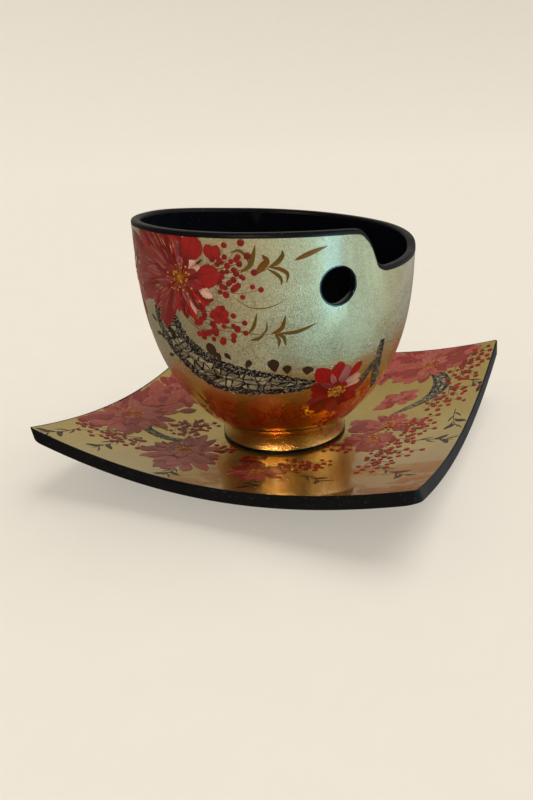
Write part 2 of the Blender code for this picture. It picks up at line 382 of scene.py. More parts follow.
def leaf(name, light, dark, roughness, crinkle, patch, metallic, low=None, coat=0.03, mirror=1.5):
    """Metal leaf under clear gloss lacquer: clouded, finely crinkled, a few pinholes, painted glints and
    shade.

    low is the deeper tint of the smooth leaf towards the foot, with the heights where it ends.
    """
    made = Shader(name, Metallic=metallic, Coat_Weight=1.0, Coat_Roughness=coat, Coat_IOR=mirror)
    clouds = made.noise(patch, 4.0, 0.6, distort=0.6)
    tone = made.blend(made.ramp(clouds, 0.36, 0.66), dark, light)
    grain = made.noise(1400.0, 3.0, 0.7)
    # painted shade: the leaf is darkened where the crinkle bump is low, in its hollows
    tone = made.blend(made.ramp(grain, 0.30, 0.72, 0.30, 0.0), tone, CREASE_SHADE)
    flakes = made.cells(1400.0, "F1", "Color")
    # painted glints: pale flakes in patches of the crinkled leaf stand in for light caught by it
    glint_patches = made.ramp(made.noise(0.6 * patch, 3.0, 0.5), 0.44, 0.62, 0.25 * crinkle, crinkle)
    tone = made.blend(made.times(glint_patches, made.ramp(flakes, 0.62, 0.80, 0.0, 0.80)), tone, PAINTED_GLINT)
    # painted shade: dark flakes in the same patches stand in for crinkle facets turned from the light
    tone = made.blend(made.times(glint_patches, made.ramp(flakes, 0.24, 0.40, 0.75, 0.0)), tone, PINHOLE_AND_FACET_SHADE)
    # real pinholes, in the same dark tint
    flecks = made.noise(520.0, 1.0)
    tone = made.blend(made.ramp(flecks, 0.73, 0.77, 0.0, 0.5), tone, PINHOLE_AND_FACET_SHADE)
    sheen = made.ramp(clouds, 0.3, 0.7, roughness + 0.06, roughness - 0.03)
    if low:
        tint, bottom, top = low
        height = made.node("ShaderNodeSeparateXYZ", {0: made.place}).outputs["Z"]
        wavering = made.plus(height, made.ramp(clouds, 0.3, 0.7, -LOW_WAVER, LOW_WAVER))
        upper = made.ramp(wavering, bottom, top)
        tone = made.blend(upper, tint, tone)
        sheen = made.plus(made.times(upper, made.plus(sheen, -LOW_SHEEN)), LOW_SHEEN)
        made.feed(made.main.inputs["Metallic"], made.ramp(upper, 0.0, 1.0, LOW_METALLIC, metallic))
        grain = made.times(upper, grain)
    return made.finish(tone, sheen, grain, crinkle, 0.0005)


def black_lacquer(name, roughness, scuffs, mirror):
    """Deep black lacquer with faint polishing haze and a few dust specks."""
    made = Shader(name, IOR=mirror)
    haze = made.noise(60.0, 5.0, 0.65)
    specks = made.ramp(made.noise(1100.0, 1.0), 0.70, 0.76, 0.0, 4.0 * scuffs)
    tone = made.blend(haze, (0.0015, 0.002, 0.004), (0.005, 0.006, 0.010))
    tone = made.blend(specks, tone, (0.12, 0.13, 0.15))
    sheen = made.ramp(haze, 0.3, 0.7, roughness, roughness + scuffs)
    return made.finish(tone, sheen, made.noise(300.0, 4.0), 0.02 + 0.2 * scuffs, 0.0003)


def paint(name, grain, metallic, gloss):
    """Brushed colour under the gloss: each stroke's own colour, streaked along its length."""
    made = Shader(name, Metallic=metallic, Specular_IOR_Level=0.25, Coat_Weight=gloss,
                  Coat_Roughness=0.05, Coat_IOR=1.4)
    stroke = made.attribute("stroke", "Vector")
    hairs = made.noise(1.0, 4.0, 0.6, made.stretch(stroke, (0.12, 2.6, 1.0)))
    tone = made.attribute("paint")
    tone = made.blend(made.ramp(hairs, 0.35, 0.62, 0.55 * grain, 0.0), tone, (0.09, 0.0, 0.0))
    tone = made.blend(made.ramp(hairs, 0.58, 0.78, 0.0, 0.16 * grain), tone, (0.75, 0.26, 0.18))
    return made.finish(tone, made.ramp(hairs, 0.3, 0.7, 0.45, 0.3), hairs, 0.15, 0.0002)


def shell(name):
    """Eggshell laid in lacquer: each shard its own tint, with hairline crazing."""
    made = Shader(name, Coat_Weight=0.5, Coat_Roughness=0.08)
    crazing = made.cells(900.0, "DISTANCE_TO_EDGE", "Distance")
    mottling = made.ramp(made.noise(700.0, 3.0), 0.4, 0.7)
    tone = made.blend(mottling, made.attribute("paint"), (0.20, 0.16, 0.09))
    tone = made.blend(made.ramp(crazing, 0.01, 0.06, 0.75, 0.0), tone, (0.05, 0.035, 0.02))
    return made.finish(tone, 0.42, made.noise(900.0, 3.0), 0.2, 0.0003)


def bark(name):
    """Near-black ground between the shards, dusted with powdered shell."""
    made = Shader(name, Coat_Weight=0.12, Coat_Roughness=0.08, Specular_IOR_Level=0.2)
    dust = made.ramp(made.noise(1300.0, 2.0, 0.7), 0.60, 0.66)
    tone = made.blend(made.noise(150.0, 3.0), (0.002, 0.0012, 0.0014), (0.012, 0.007, 0.007))
    return made.finish(made.blend(dust, tone, (0.26, 0.22, 0.20)), 0.4, dust, 0.2, 0.0003)


def wood(name):
    """Plain turned wood with its grain running up the bowl."""
    made = Shader(name)
    rings = made.noise(1.0, 5.0, 0.6, made.stretch(made.place, (120.0, 120.0, 12.0)))
    tone = made.blend(rings, (0.22, 0.12, 0.05), (0.48, 0.32, 0.17))
    return made.finish(tone, made.ramp(rings, 0.3, 0.7, 0.75, 0.6), rings, 0.2, 0.0005)


def floor_paper(name):
    """Pale paper that also glows a little, so that it stays evenly light."""
    made = Shader(name, Emission_Color=(1.0, 0.93, 0.82, 1.0), Emission_Strength=PAPER_GLOW)
    tone = made.blend(made.noise(40.0, 4.0), (0.42, 0.40, 0.36), (0.45, 0.43, 0.39))
    return made.finish(tone, 0.9)


SILVER_LEAF = leaf("silver_leaf_lacquer", (0.82, 0.80, 0.52), (0.56, 0.50, 0.31), 0.29, 0.8, 24.0,
                   0.65, ((0.86, 0.36, 0.030), 0.046, 0.072), 0.20, 1.30)
GOLD_LEAF = leaf("gold_leaf_lacquer", (0.78, 0.57, 0.15), (0.66, 0.47, 0.11), 0.16, 0.12, 20.0,
                 0.92, mirror=1.36)
FOOT_LEAF = leaf("foot_leaf_lacquer", (1.0, 0.62, 0.16), (0.86, 0.45, 0.09), 0.16, 0.5, 90.0, 0.95)
BLACK_GLOSS = black_lacquer("black_gloss_lacquer", 0.05, 0.04, 1.35)
BLACK_SATIN = black_lacquer("black_satin_lacquer", 0.34, 0.12, 1.28)
PETAL_PAINT = paint("petal_paint", 1.0, 0.0, 0.4)
LINE_PAINT = paint("line_paint", 0.35, 0.3, 0.3)
SHELL = shell("eggshell")
BARK = bark("branch_ground")
WOOD = wood("turned_wood")


# --- the bowl's fine surfaces ---

STEP_FIRST, STEP_LAST = 50.0, 76.0
STEP_COLUMNS = 52
REST_COLUMNS = 216
LIP_PROUD = 0.12
LIP_OUTER_ROUND = 1.3
LIP_INNER_ROUND = 1.6
COAT_THICKNESS = 1.0
BAND_OVERLAP = 0.2
FOOT_BAND_WIDTH = 6.0
FLOOR_COVE = 6.0
SLEEVE_SIDES = 120
CUTTER_LENGTH = 40.0


def bowl_azimuths():
    """Close columns through the rim's step, wider ones over the rest."""
    fine = [STEP_FIRST + i * (STEP_LAST - STEP_FIRST) / STEP_COLUMNS for i in range(STEP_COLUMNS)]
    rest = 360.0 - (STEP_LAST - STEP_FIRST)
    return fine + [STEP_LAST + i * rest / REST_COLUMNS for i in range(REST_COLUMNS)]


def wall_points(azimuth, depth, bottom, rows):
    """Points of one wall layer, up to just inside the black lip."""
    top = rim_height(azimuth) - (RIM_BAND_HEIGHT - BAND_OVERLAP)
    heights = [bottom + (top - bottom) * (row / rows) ** 1.4 for row in range(rows + 1)]
    return [(layer_radius(height, depth), height) for height in heights]


def skin_outline(azimuth):
    outside = wall_points(azimuth, 0.0, FOOT_TOP, 44)
    return outside + wall_points(azimuth, COAT_THICKNESS, FOOT_TOP, 12)[::-1]


def lining_outline(azimuth):
    low = FLOOR_HEIGHT - COAT_THICKNESS
    under = wall_points(azimuth, LINING_DEPTH - COAT_THICKNESS, low, 10)
    inside = wall_points(azimuth, LINING_DEPTH, FLOOR_HEIGHT + FLOOR_COVE, 34)
    cove = [(inside[0][0] * share, FLOOR_HEIGHT + FLOOR_COVE * share ** 4)
            for share in (0.96, 0.9, 0.82, 0.72, 0.6, 0.45, 0.25)]
    return [(0.0, low)] + under + inside[::-1] + cove + [(0.0, FLOOR_HEIGHT)]


def lip_outline(azimuth):
    """Rounded black lip, a hair proud of the skin and the lining that it covers."""
    outer, inner = LIP_OUTER_ROUND, LIP_INNER_ROUND
    section = [(-LIP_PROUD, -RIM_BAND_HEIGHT)]
    section += arc((outer, -outer), outer + LIP_PROUD, 180.0, 90.0, 6)
    section += arc((LINING_DEPTH - inner, -inner), inner + LIP_PROUD, 90.0, 0.0, 6)
    section += [(LINING_DEPTH + LIP_PROUD, -RIM_BAND_HEIGHT), (0.5 * LINING_DEPTH, -RIM_BAND_HEIGHT)]
    crest = rim_height(azimuth)
    return [(layer_radius(crest, depth), crest + rise - LIP_PROUD) for depth, rise in section]


def foot_outline(_azimuth):
    inner = FOOT_RADIUS - FOOT_BAND_WIDTH
    low = SOLE_BAND_HEIGHT - 0.1
    high = FOOT_TOP + 0.4
    flare = [(FOOT_RADIUS - 0.1 - 0.9 * math.sin(math.pi * i / 12) ** 0.8, low + (high - low) * i / 12)
             for i in range(13)]
    return flare + [(inner, high), (inner, low)]


def sole_outline(_azimuth):
    inner = FOOT_RADIUS - FOOT_BAND_WIDTH
    outer = arc((FOOT_RADIUS - 0.5, 0.5), 0.5, -90.0, 0.0, 4)
    return outer + [(FOOT_RADIUS, SOLE_BAND_HEIGHT), (inner, SOLE_BAND_HEIGHT), (inner, 0.0)]


def cut_hole(piece):
    """Bores the round side hole through a wall layer and keeps the result in its mesh."""
    mesh = bmesh.new()
    bmesh.ops.create_cone(mesh, cap_ends=True, segments=96, radius1=HOLE_RADIUS * MM,
                          radius2=HOLE_RADIUS * MM, depth=CUTTER_LENGTH * MM)
    cutter = add_mesh("hole_cutter", mesh)
    middle = polar(HOLE_AZIMUTH, RIM_RADIUS, HOLE_HEIGHT) + BOWL_BASE
    turn = Matrix.Rotation(math.radians(HOLE_AZIMUTH), 4, "Z") @ Matrix.Rotation(math.pi / 2, 4, "X")
    cutter.matrix_world = Matrix.Translation(middle * MM) @ turn
    modifier = piece.modifiers.new("hole", "BOOLEAN")
    modifier.object = cutter
    modifier.solver = "EXACT"
    bpy.context.view_layer.update()
    evaluated = piece.evaluated_get(bpy.context.evaluated_depsgraph_get())
    bored = bpy.data.meshes.new_from_object(evaluated)
    piece.modifiers.clear()
    piece.data = bored
    bpy.data.objects.remove(cutter, do_unlink=True)


def hole_point(radius, angle, depth):
    """A point of the hole's sleeve, on the surface that lies depth below the bowl's skin."""
    across, height = offset_point((0.0, HOLE_HEIGHT), angle, radius)
    reach = math.sqrt(layer_radius(height, depth) ** 2 - across ** 2)
    x, y = offset_point((0.0, 0.0), math.radians(HOLE_AZIMUTH), across, -reach)
    return (Vector((x, y, height)) + BOWL_BASE) * MM


def make_hole_sleeve():
    """Black lacquered bore whose outer edge was brushed on by hand, so it wavers."""
    mesh = bmesh.new()
    chance = random.Random(4)
    angles = [math.tau * i / SLEEVE_SIDES for i in range(SLEEVE_SIDES)]
    waver = [0.10 * math.sin(3 * angle + 1.0) + 0.16 * chance.random() for angle in angles]
    rings = []
    # radius, depth under the skin, share of the wavering
    for radius, depth, share in (
            (HOLE_RADIUS + 0.25, 0.3, 1.0), (HOLE_RADIUS + 0.25, -0.06, 1.0),
            (HOLE_RADIUS - 0.15, -0.14, 0.5), (HOLE_BORE + 0.2, -0.02, 0.2), (HOLE_BORE, 0.5, 0.0),
            (HOLE_BORE, 2.2, 0.0), (HOLE_BORE, LINING_DEPTH - 0.5, 0.0),
            (HOLE_BORE + 0.25, LINING_DEPTH + 0.08, 0.0), (HOLE_RADIUS + 0.3, LINING_DEPTH + 0.08, 0.0),
            (HOLE_RADIUS + 0.3, LINING_DEPTH - 0.6, 0.0)):
        rings.append([mesh.verts.new(hole_point(radius + share * off, angle, depth))
                      for off, angle in zip(waver, angles)])
    for first, second in zip(rings, rings[1:] + rings[:1]):
        for corners in bridge(first, second):
            mesh.faces.new(corners)
    piece = keep_mesh("hole_sleeve_lacquer", mesh, BLACK_GLOSS, "bowl", 60.0)
    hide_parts("hole_sleeve")


def make_bowl():
    azimuths = bowl_azimuths()
    skin = sweep("bowl_leaf_surface", azimuths, skin_outline, BOWL_BASE, SILVER_LEAF, "bowl")
    cut_hole(skin)
    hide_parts("bowl_leaf_skin")
    lining = sweep("bowl_inner_lacquer", azimuths, lining_outline, BOWL_BASE, BLACK_GLOSS, "bowl")
    cut_hole(lining)
    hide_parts("bowl_lining")
    lip = sweep("rim_lip", azimuths, lip_outline, BOWL_BASE, BLACK_SATIN, "bowl", 60.0)
    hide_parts("rim_band")
    even = [i * 2.0 for i in range(180)]
    foot = sweep("foot_gilding", even, foot_outline, BOWL_BASE, FOOT_LEAF, "bowl")
    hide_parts("foot_ring")
    sole = sweep("foot_sole_lacquer", even, sole_outline, BOWL_BASE, BLACK_SATIN, "bowl")
    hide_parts("foot_sole_band")
    make_hole_sleeve()
    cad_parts["bowl_core"].material_slots[0].material = WOOD


# --- the saucer's fine surfaces ---

DISH_RINGS = 40
BACK_RINGS = 12
SIDE_COLUMNS = 40
CORNER_COLUMNS = 24


def saucer_azimuths():
    """Close columns round each corner, wider ones along the sides."""
    straight = SAUCER_BASE_HALF_SIDE - SAUCER_BASE_CORNER
    tangent = math.degrees(math.atan2(straight, SAUCER_BASE_HALF_SIDE))
    side = [-tangent + 2.0 * tangent * i / SIDE_COLUMNS for i in range(SIDE_COLUMNS + 1)]
    corner = [tangent + (90.0 - 2.0 * tangent) * i / CORNER_COLUMNS for i in range(1, CORNER_COLUMNS)]
    return [90.0 * quarter + azimuth for quarter in range(4) for azimuth in side + corner]


def dish_points(azimuth, inset, lift, rings):
    edge = saucer_edge(azimuth, lift, inset)
    radii = [edge * (ring / rings) ** 0.8 for ring in range(1, rings + 1)]
    return [(0.0, lift)] + [(radius, saucer_height(radius) + lift) for radius in radii]


def panel_outline(azimuth):
    top = dish_points(azimuth, EDGE_LIP, SAUCER_THICKNESS, DISH_RINGS)
    return top + dish_points(azimuth, EDGE_LIP, SAUCER_THICKNESS - 1.0, BACK_RINGS)[::-1]


def underside_outline(azimuth):
    top = dish_points(azimuth, EDGE_BAND_WIDTH, SAUCER_THICKNESS - 1.1, BACK_RINGS)
    return top + dish_points(azimuth, EDGE_BAND_WIDTH, 0.0, DISH_RINGS)[::-1]


def edge_outline(azimuth):
    """Black edge, softly rounded above and below, with a step under the leafed panel."""
    high, bulge, nose = SAUCER_THICKNESS, 0.8, 0.4
    section = [(EDGE_BAND_WIDTH, 0.0)] + arc((bulge, bulge), bulge, 270.0, 180.0, 5)
    section += [(0.0, share * high) for share in (0.3, 0.5, 0.7)]
    section += arc((nose, high - nose), nose, 180.0, 90.0, 4)
    section += [(EDGE_LIP, high), (EDGE_LIP, high - 1.05), (EDGE_BAND_WIDTH, high - 1.05)]
    points = []
    for inset, lift in section:
        radius = saucer_edge(azimuth, lift, inset)
        points.append((radius, saucer_height(radius) + lift))
    return points


def make_saucer():
    azimuths = saucer_azimuths()
    panel = sweep("saucer_leaf_surface", azimuths, panel_outline, (0, 0, 0), GOLD_LEAF, "saucer")
    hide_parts("saucer_leaf_panel")
    under = sweep("saucer_underside", azimuths, underside_outline, (0, 0, 0), BLACK_GLOSS, "saucer")
    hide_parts("saucer_core")
    edge = sweep("saucer_edge_lacquer", azimuths, edge_outline, (0, 0, 0), BLACK_SATIN, "saucer", 50.0)
    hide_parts("saucer_edge_band")


# --- painted and inlaid decoration ---

UNDER = -0.12
LAYER = 0.006
PAINT_LIFT = 0.10
GRASS_LIFT = 0.13
STROKE_LIFT = 0.60
STAMEN_LIFT = 0.70
PETAL_ROWS = 10
PETAL_COLUMNS = 6
BRANCH_STEP = 0.9
SHARD_SIZE = 3.6
SHARD_LANES = 3
SHARD_BAND = 0.52
GROUND_LIFT = 0.06
HERE = (0.0, 0.0)

BRIGHT_RED = (0.40, 0.003, 0.002)
DEEP_RED = (0.17, 0.002, 0.002)
DUSKY_RED = (0.27, 0.022, 0.020)
PLUM = (0.24, 0.032, 0.040)
PINK = (0.62, 0.22, 0.20)
SOFT_PINK = (0.46, 0.13, 0.11)
BLUSH = (0.78, 0.50, 0.38)
AMBER = (0.60, 0.22, 0.008)
POLLEN = (0.75, 0.38, 0.03)
PEACH = (0.50, 0.18, 0.11)
STRAW = (0.48, 0.34, 0.12)
OLIVE_GOLD = (0.20, 0.125, 0.012)
RUSSET = (0.25, 0.10, 0.008)
DARK_OLIVE = (0.022, 0.019, 0.004)
DUSK_OLIVE = (0.030, 0.012, 0.014)
INK = (0.016, 0.010, 0.009)
BLACK = (0.0, 0.0, 0.0)

# root, middle and rim of a petal
RED = (DEEP_RED, BRIGHT_RED, BRIGHT_RED)
DARK = (DEEP_RED, DEEP_RED, BRIGHT_RED)
DUSK = (DEEP_RED, DUSKY_RED, PLUM)
ROSE = (DEEP_RED, PLUM, PINK)
PALE = (PINK, BLUSH, PINK)
LILAC = (PLUM, (0.50, 0.16, 0.20), PLUM)
BUD = (DARK_OLIVE, DARK_OLIVE, INK)
MASS = ((0.42, 0.070, 0.045), (0.43, 0.080, 0.060), (0.47, 0.12, 0.095))
MASS_DEEP = ((0.26, 0.022, 0.018), (0.28, 0.028, 0.026), (0.32, 0.050, 0.044))
MASS_PEACH = ((0.40, 0.10, 0.05), (0.44, 0.12, 0.09), (0.34, 0.07, 0.06))


def mixed(first, second, share):
    return tuple(a + (b - a) * share for a, b in zip(first, second))


def shrink(corners, share):
    """The corners drawn in towards their middle."""
    middle = [sum(values) / len(corners) for values in zip(*corners)]
    return [mixed(middle, corner, share) for corner in corners]


def heading(centre, tip):
    """Direction in degrees and distance from the centre to the tip."""
    du, dw = tip[0] - centre[0], tip[1] - centre[1]
    return math.degrees(math.atan2(dw, du)), math.hypot(du, dw)


class Relief:
    """Collects small closed shapes that lie on a surface, each point with its paint."""

    def __init__(self):
        self.points = []
        self.faces = []

    def point(self, place, tint, stroke=(0.0, 0.0, 0.0)):
        self.points.append((place, (*tint, 1.0), stroke))
        return len(self.points) - 1

    def strip(self, place, rows):
        """A closed sliver: rows of (u, w, lift, tint, stroke) over a flat back under the surface."""
        top = [[self.point(place(u, w, lift), tint, stroke) for u, w, lift, tint, stroke in row]
               for row in rows]
        back = [[self.point(place(u, w, UNDER), tint, stroke)
                 for u, w, _, tint, stroke in (row[0], row[-1])] for row in rows]
        for near, far, near_back, far_back in zip(top, top[1:], back, back[1:]):
            self.faces += zip(near, near[1:], far[1:], far)
            self.faces.append((near[0], far[0], far_back[0], near_back[0]))
            self.faces.append((near[-1], near_back[1], far_back[1], far[-1]))
            self.faces.append((near_back[0], far_back[0], far_back[1], near_back[1]))
        self.faces.append((*top[0][::-1], *back[0]))
        self.faces.append((*top[-1], *back[-1][::-1]))

    def stack(self, rings):
        """A closed solid from rings of point numbers."""
        for first, second in zip(rings, rings[1:]):
            self.faces += bridge(first, second)
        self.faces.append(rings[0][::-1])
        self.faces.append(rings[-1])

    def disc(self, place, centre, radius, lift, edge_tint, middle_tint, sides=14):
        """A low dome, such as a berry, its middle in a second tint."""
        rings = []
        for share, height, tint in ((1.0, UNDER, edge_tint), (1.0, lift * 0.5, edge_tint),
                                    (0.8, lift * 0.9, edge_tint), (0.4, lift, middle_tint)):
            spots = [offset_point(centre, math.tau * side / sides, radius * share)
                     for side in range(sides)]
            rings.append([self.point(place(*spot, height), tint, (*spot, 0.0)) for spot in spots])
        self.stack(rings)

    def shard(self, place, corners, lift, tint):
        """A flat chip of shell with a small bevel round its top."""
        self.stack([[self.point(place(*spot, height), tint) for spot in shrink(corners, share)]
                    for share, height in ((1.0, UNDER), (1.0, lift * 0.6), (0.9, lift))])

    def finish(self, name, surface, body, slot):
        mesh = bmesh.new()
        paint_layer = mesh.verts.layers.float_color.new("paint")
        stroke_layer = mesh.verts.layers.float_vector.new("stroke")
        made = []
        for place, tint, stroke in self.points:
            vertex = mesh.verts.new(place)
            vertex[paint_layer] = tint
            vertex[stroke_layer] = stroke
            made.append(vertex)
        for face in self.faces:
            mesh.faces.new([made[index] for index in face])
        piece = keep_mesh(name, mesh, surface, body, 50.0)


def petal(relief, place, centre, angle, start, reach, width, tints, layer, bend=0.0, tip=1.25):
    """One brushed petal from start to reach mm out, in three tints: root, middle, rim."""
    root, middle, rim = tints
    turn = math.radians(angle)
    seed = layer * 3.7
    rows = []
    for i in range(PETAL_ROWS + 1):
        t = i / PETAL_ROWS
        half = max(0.5 * width * math.sin(math.pi * min(t ** tip, 1.0)) ** 0.62, 0.05)
        out = start + (reach - start) * t
        row = []
        for j in range(PETAL_COLUMNS + 1):
            s = 2.0 * j / PETAL_COLUMNS - 1.0
            spot = offset_point(centre, turn, out, half * s + bend * t * t)
            lift = PAINT_LIFT + LAYER * layer + 0.05 * (1.0 - s * s) * math.sin(math.pi * t)
            tint = mixed(mixed(root, middle, min(1.0, 2.2 * t)), rim, s * s * t)
            row.append((*spot, lift, tint, (out + seed, half * s + seed, seed)))
        rows.append(row)
    relief.strip(place, rows)


def ribbon(relief, place, knots, width, tint, taper="blade", steps=16, lift=0.12, scale=(1.0, 1.0)):
    """A brush line through the knots: a blade swells in its middle, a stem stays thin.

    scale is the length in mm of one unit of each sheet coordinate.
    """
    points = curve_points([(knot[0] * scale[0], knot[1] * scale[1]) for knot in knots], steps)
    rows = []
    for i, point in enumerate(points):
        t = i / steps
        along = (points[min(i + 1, steps)] - points[max(i - 1, 0)]).normalized()
        swell = math.sin(math.pi * min(t ** 0.9, 1.0)) ** 0.8 if taper == "blade" else 1.0 - 0.6 * t
        half = max(0.5 * width * swell, 0.08)
        row = []
        for s in (-1.0, 0.0, 1.0):
            row.append(((point.x - along.y * half * s) / scale[0],
                        (point.y + along.x * half * s) / scale[1],
                        lift * (1.0 if s == 0.0 else 0.7),
                        # painted shade: each line is darker along one side; it also darkens towards its
                        # end
                        mixed(tint, BLACK, 0.125 * (s + 1.0) + 0.15 * t),
                        (point.length, half * s, width)))
        rows.append(row)
    relief.strip(place, rows)


def stamens(relief, place, centre, reach, count, seed):
    """Amber threads with pollen dots, spread round the heart of a blossom."""
    chance = random.Random(seed)
    for i in range(count):
        angle = math.tau * (i + 0.5 * chance.random()) / count
        end = offset_point(centre, angle, reach * (0.40 + 0.60 * chance.random()))
        ribbon(relief, place, [centre, end], 0.7, AMBER, "stem", 4, STAMEN_LIFT)
        relief.disc(place, end, 0.5 + 0.35 * chance.random(), STAMEN_LIFT + 0.04, AMBER, POLLEN, 8)


def berries(relief, place, end, bend, count, size, seed, stem_tint=OLIVE_GOLD):
    """A bending stem from the sheet's origin, with berries to both sides and one at its tip."""
    chance = random.Random(seed)
    length = math.hypot(*end)
    side = Vector((-end[1] / length, end[0] / length))
    knots = [HERE, 0.5 * Vector(end) + bend * side, end]
    ribbon(relief, place, knots, 0.45, stem_tint, "stem", 8, 0.10)
    for i, point in enumerate(curve_points(knots, count)[1:], 1):
        out = 0.0 if i == count else (1.0 if i % 2 else -1.0) * size * (1.1 + 0.9 * chance.random())
        radius = size * (0.78 + 0.4 * chance.random())
        edge = mixed(BRIGHT_RED, DEEP_RED, 0.7 * chance.random())
        relief.disc(place, point + out * side, radius, 0.30, edge, mixed(edge, (0.10, 0.0, 0.01), 0.35))


def lay_petals(paints, place, centre, petals):
    """Petals one over the other, each with its angle, start, reach, width, tints and bend."""
    for layer, (angle, start, reach, width, tints, bend) in enumerate(petals):
        petal(paints, place, centre, angle, start, reach, width, tints, layer, bend)


def ruffle(count, reach, width, tints, seed, first=0.0, sweep_angle=360.0, start=1.0):
    """Petals spread evenly round a blossom with hand-painted unevenness."""
    chance = random.Random(seed)
    petals = []
    for i in range(count):
        angle = first + sweep_angle * (i + 0.5 * chance.random()) / count
        petals.append((angle, start, reach * (1.15 - 0.35 * chance.random()),
                       width * (0.8 + 0.4 * chance.random()), tints[i % len(tints)],
                       2.0 * chance.random() - 1.0))
    return petals


def towards(centre, tips, width, tints, seed, start=3.0):
    """Petals that each end at one of the tips."""
    chance = random.Random(seed)
    petals = []
    for i, tip in enumerate(tips):
        angle, away = heading(centre, tip)
        petals.append((angle, start, away, width * (0.8 + 0.4 * chance.random()),
                       tints[i % len(tints)], 1.6 * chance.random() - 0.8))
    return petals


def dabs(paints, place, centre, tips, count, width, layer, seed):
    """Short overlapping touches that fill a blossom from its tips inwards, lighter at its heart."""
    chance = random.Random(seed)
    for i in range(count):
        turn = len(tips) * chance.random()
        first = int(turn)
        angle, away = heading(centre, mixed(tips[first], tips[(first + 1) % len(tips)], turn - first))
        share = 1.0 - 0.85 * (i / count) ** 1.4 + 0.12 * (chance.random() - 0.5)
        angle += 36.0 * (chance.random() - 0.5)
        reach = min(max(away * share, 3.0), away)
        start = max(reach - width * (1.4 + 1.2 * chance.random()), 0.3)
        tints = (MASS, MASS_DEEP, MASS_DEEP, MASS)[i % 4]
        if share < 0.5 and chance.random() < 0.6:
            tints = MASS_PEACH
        petal(paints, place, centre, angle, start, reach, width * (0.7 + 0.6 * chance.random()),
              tints, layer + i, 1.5 * (chance.random() - 0.5), 1.0)


def streaks(lines, place, centre, count, first, sweep_angle, near, far, tint, width, seed):
    """Fine brush strokes over the petals, running outwards."""
    chance = random.Random(seed)
    for i in range(count):
        angle = math.radians(first + sweep_angle * (i + chance.random()) / count)
        start = near + (far - near) * 0.55 * chance.random()
        length = (far - near) * (0.20 + 0.25 * chance.random())
        sway = 0.9 * (chance.random() - 0.5)
        knots = [offset_point(centre, angle, start + length * share, sway * math.sin(math.pi * share))
                 for share in (0.0, 0.5, 1.0)]
        ribbon(lines, place, knots, width * (0.6 + 0.8 * chance.random()), tint, "blade", 6, STROKE_LIFT)


GREAT_BLOSSOM = (
    ruffle(15, 44, 8.5, (DUSK, DARK, DUSK, ROSE), 11, 138, 66, 8)
    + ruffle(7, 26, 7, (DUSK, ROSE, DARK), 15, 204, 34, 6)
    + ruffle(12, 27, 11, (DARK, DUSK, DARK, RED), 12, 96, 60, 4)
    + ruffle(14, 29, 7, (DUSK, DARK, ROSE), 14, 134, 110, 4)
    + [(112, 5, 24.5, 12, DARK, -1), (98, 6, 22, 9, RED, 0.5),
       (128, 4, 25, 9.5, DARK, -1), (146, 5, 24, 8, DUSK, 0),
       (86, 6, 18.5, 5, ROSE, 2), (76, 5, 16.5, 5, DARK, 1.5),
       (-140, 6, 24, 6.5, DUSK, 0), (-128, 6, 20, 6.5, DARK, 0.5),
       (-117, 5, 18, 6.5, DUSK, 0.5), (-103, 4, 17, 6, RED, 0),
       (-88, 4, 20, 5.5, DARK, 0.5), (-72, 5, 20.5, 6.5, RED, 0),
       (-66, 9, 18.5, 3.2, PALE, 0), (-50, 3, 19, 7.5, DARK, 0),
       (-40, 4, 19, 8.5, RED, 0.5), (-28, 5, 20, 9.5, DARK, 0),
       (-25, 9, 19.5, 6.4, PALE, 0.5), (48, 7, 15.5, 6, PALE, 0.5),
       (28, 5, 15, 3.4, PALE, -0.5), (-6, 6, 14, 3.5, ROSE, 1),
       (-14, 4, 14, 5, RED, 0), (7, 8, 22.5, 11, RED, 0.5),
       (61, 9, 24, 12, RED, 0)]
    + ruffle(14, 11, 4.2, (DARK, DUSK, DARK, ROSE), 13, 0, 360, 0.5)
)

LOW_BLOSSOM = (
    ruffle(12, 16, 7, (DARK, RED, DUSK, DARK), 21, 160, 225, 2)
    + [(155, 3, 16, 8, DARK, 0), (140, 3, 13, 6, ROSE, 0),
       (124, 4, 21, 9, RED, 0), (108, 4, 14, 5.5, LILAC, 0),
       (94, 5, 19.5, 7.5, RED, -0.5), (76, 4, 16.5, 8.5, LILAC, 0.5),
       (54, 9, 20, 4.6, RED, 0), (33, 4, 15, 7, PALE, 0),
       (14, 4, 14, 5, PALE, 0), (-2, 4, 14, 5, RED, 0.5)]
    + ruffle(9, 6.5, 3.6, (DARK, RED), 22, 0, 360, 0.5)
)


def blossom(reach, seed):
    """A full round blossom for the parts of the decoration that need no special petals."""
    return (ruffle(15, reach, reach * 0.28, (DUSK, DARK, ROSE), seed)
            + ruffle(13, reach * 0.78, reach * 0.26, (RED, DARK, DUSK), seed + 1)
            + ruffle(5, reach * 0.70, reach * 0.16, (PALE, ROSE), seed + 2, 20.0)
            + ruffle(9, reach * 0.42, reach * 0.18, (DARK, RED), seed + 3))


BOWL_BLOSSOMS = (
    # azimuth, height, petals, length of the stamens, seed
    (-12.4, 106.5, GREAT_BLOSSOM, 8.5, 41), (49.7, 44.5, LOW_BLOSSOM, 5.5, 42),
    (-60, 101, blossom(30, 43), 7, 43), (172, 92, blossom(22, 47), 6.5, 47),
    (226, 98, blossom(17, 51), 5, 51),
)

GREAT_STREAKS = (
    # count, first angle, swept angle, near, far, tint, width, seed
    (18, 120, 110, 9, 38, SOFT_PINK, 1.1, 44), (14, 95, 150, 9, 30, STRAW, 0.5, 45),
    (26, -110, 240, 7, 19, DEEP_RED, 0.8, 46), (9, -100, 60, 7, 19, SOFT_PINK, 0.6, 47),
)

